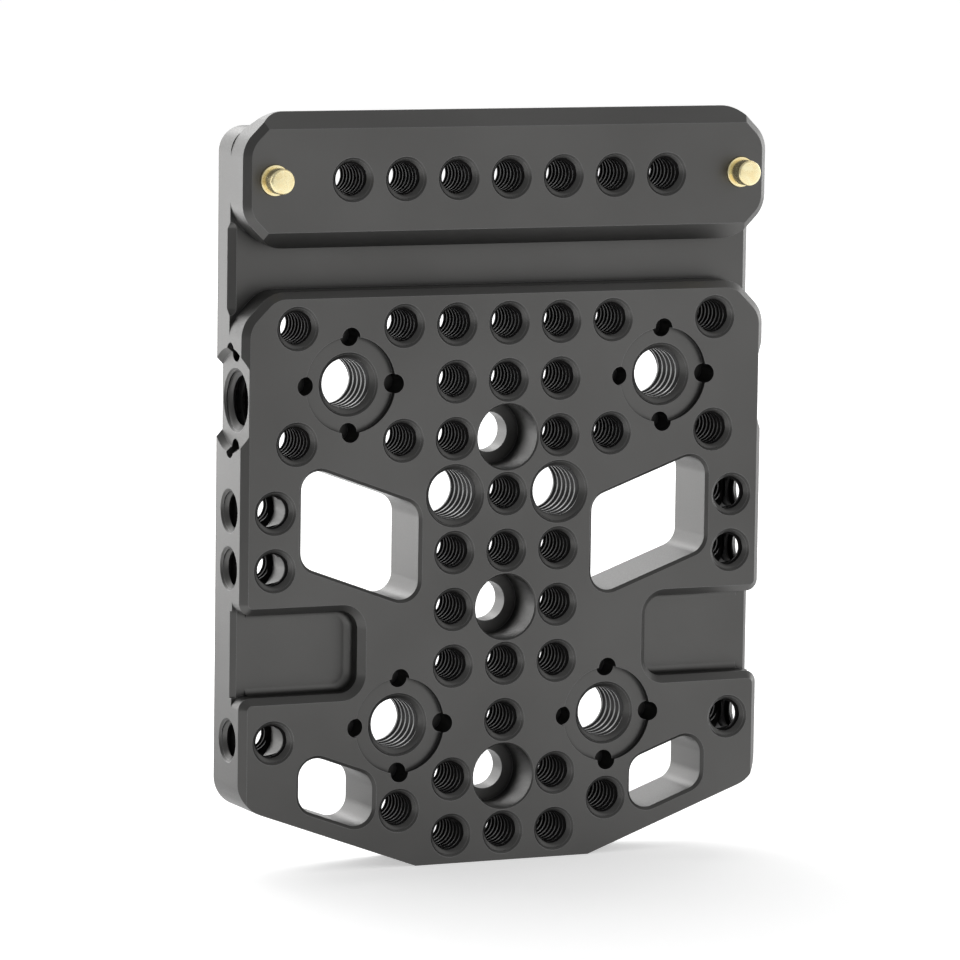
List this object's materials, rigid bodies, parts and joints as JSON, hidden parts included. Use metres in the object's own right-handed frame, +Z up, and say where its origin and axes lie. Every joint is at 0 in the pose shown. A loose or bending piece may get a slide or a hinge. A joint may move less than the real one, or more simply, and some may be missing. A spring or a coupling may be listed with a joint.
{
  "type": "camera cheese plate",
  "caption": "Milled aluminium cheese plate with tapped hole grid, locating mounts, a dovetail clamping rail along the top and spring loaded stop pins.",
  "frame": {"origin": "middle of the flat foot, halfway through the plate's thickness", "axes": "+X across the plate to the right as seen from the face, -Y out of the face, +Z up from the foot to the rail"},
  "size_m": [0.09, 0.0144, 0.119],
  "materials": {
    "anodised_aluminium": "fine bead blasted and anodised dark grey",
    "brass": "turned",
    "spring_steel": "drawn wire",
    "black_steel": "black oxide"
  },
  "bodies": {
    "plate_body": {"plate": "anodised_aluminium", "cap_screw_left": "black_steel", "cap_screw_right": "black_steel", "spring_left": "spring_steel", "spring_right": "spring_steel"},
    "stop_pin_left_body": {"stop_pin_left": "brass"},
    "stop_pin_right_body": {"stop_pin_right": "brass"}
  },
  "joints": [
    {"name": "press_left", "type": "slide", "parent": "plate_body", "child": "stop_pin_left_body", "axis": [0, 1, 0], "range_m": [0, 0.0034], "stiffness_N_per_m": 300, "springref_m": -0.003, "deforming": ["spring_left"]},
    {"name": "press_right", "type": "slide", "parent": "plate_body", "child": "stop_pin_right_body", "axis": [0, 1, 0], "range_m": [0, 0.0034], "stiffness_N_per_m": 300, "springref_m": -0.003, "deforming": ["spring_right"]}
  ]
}
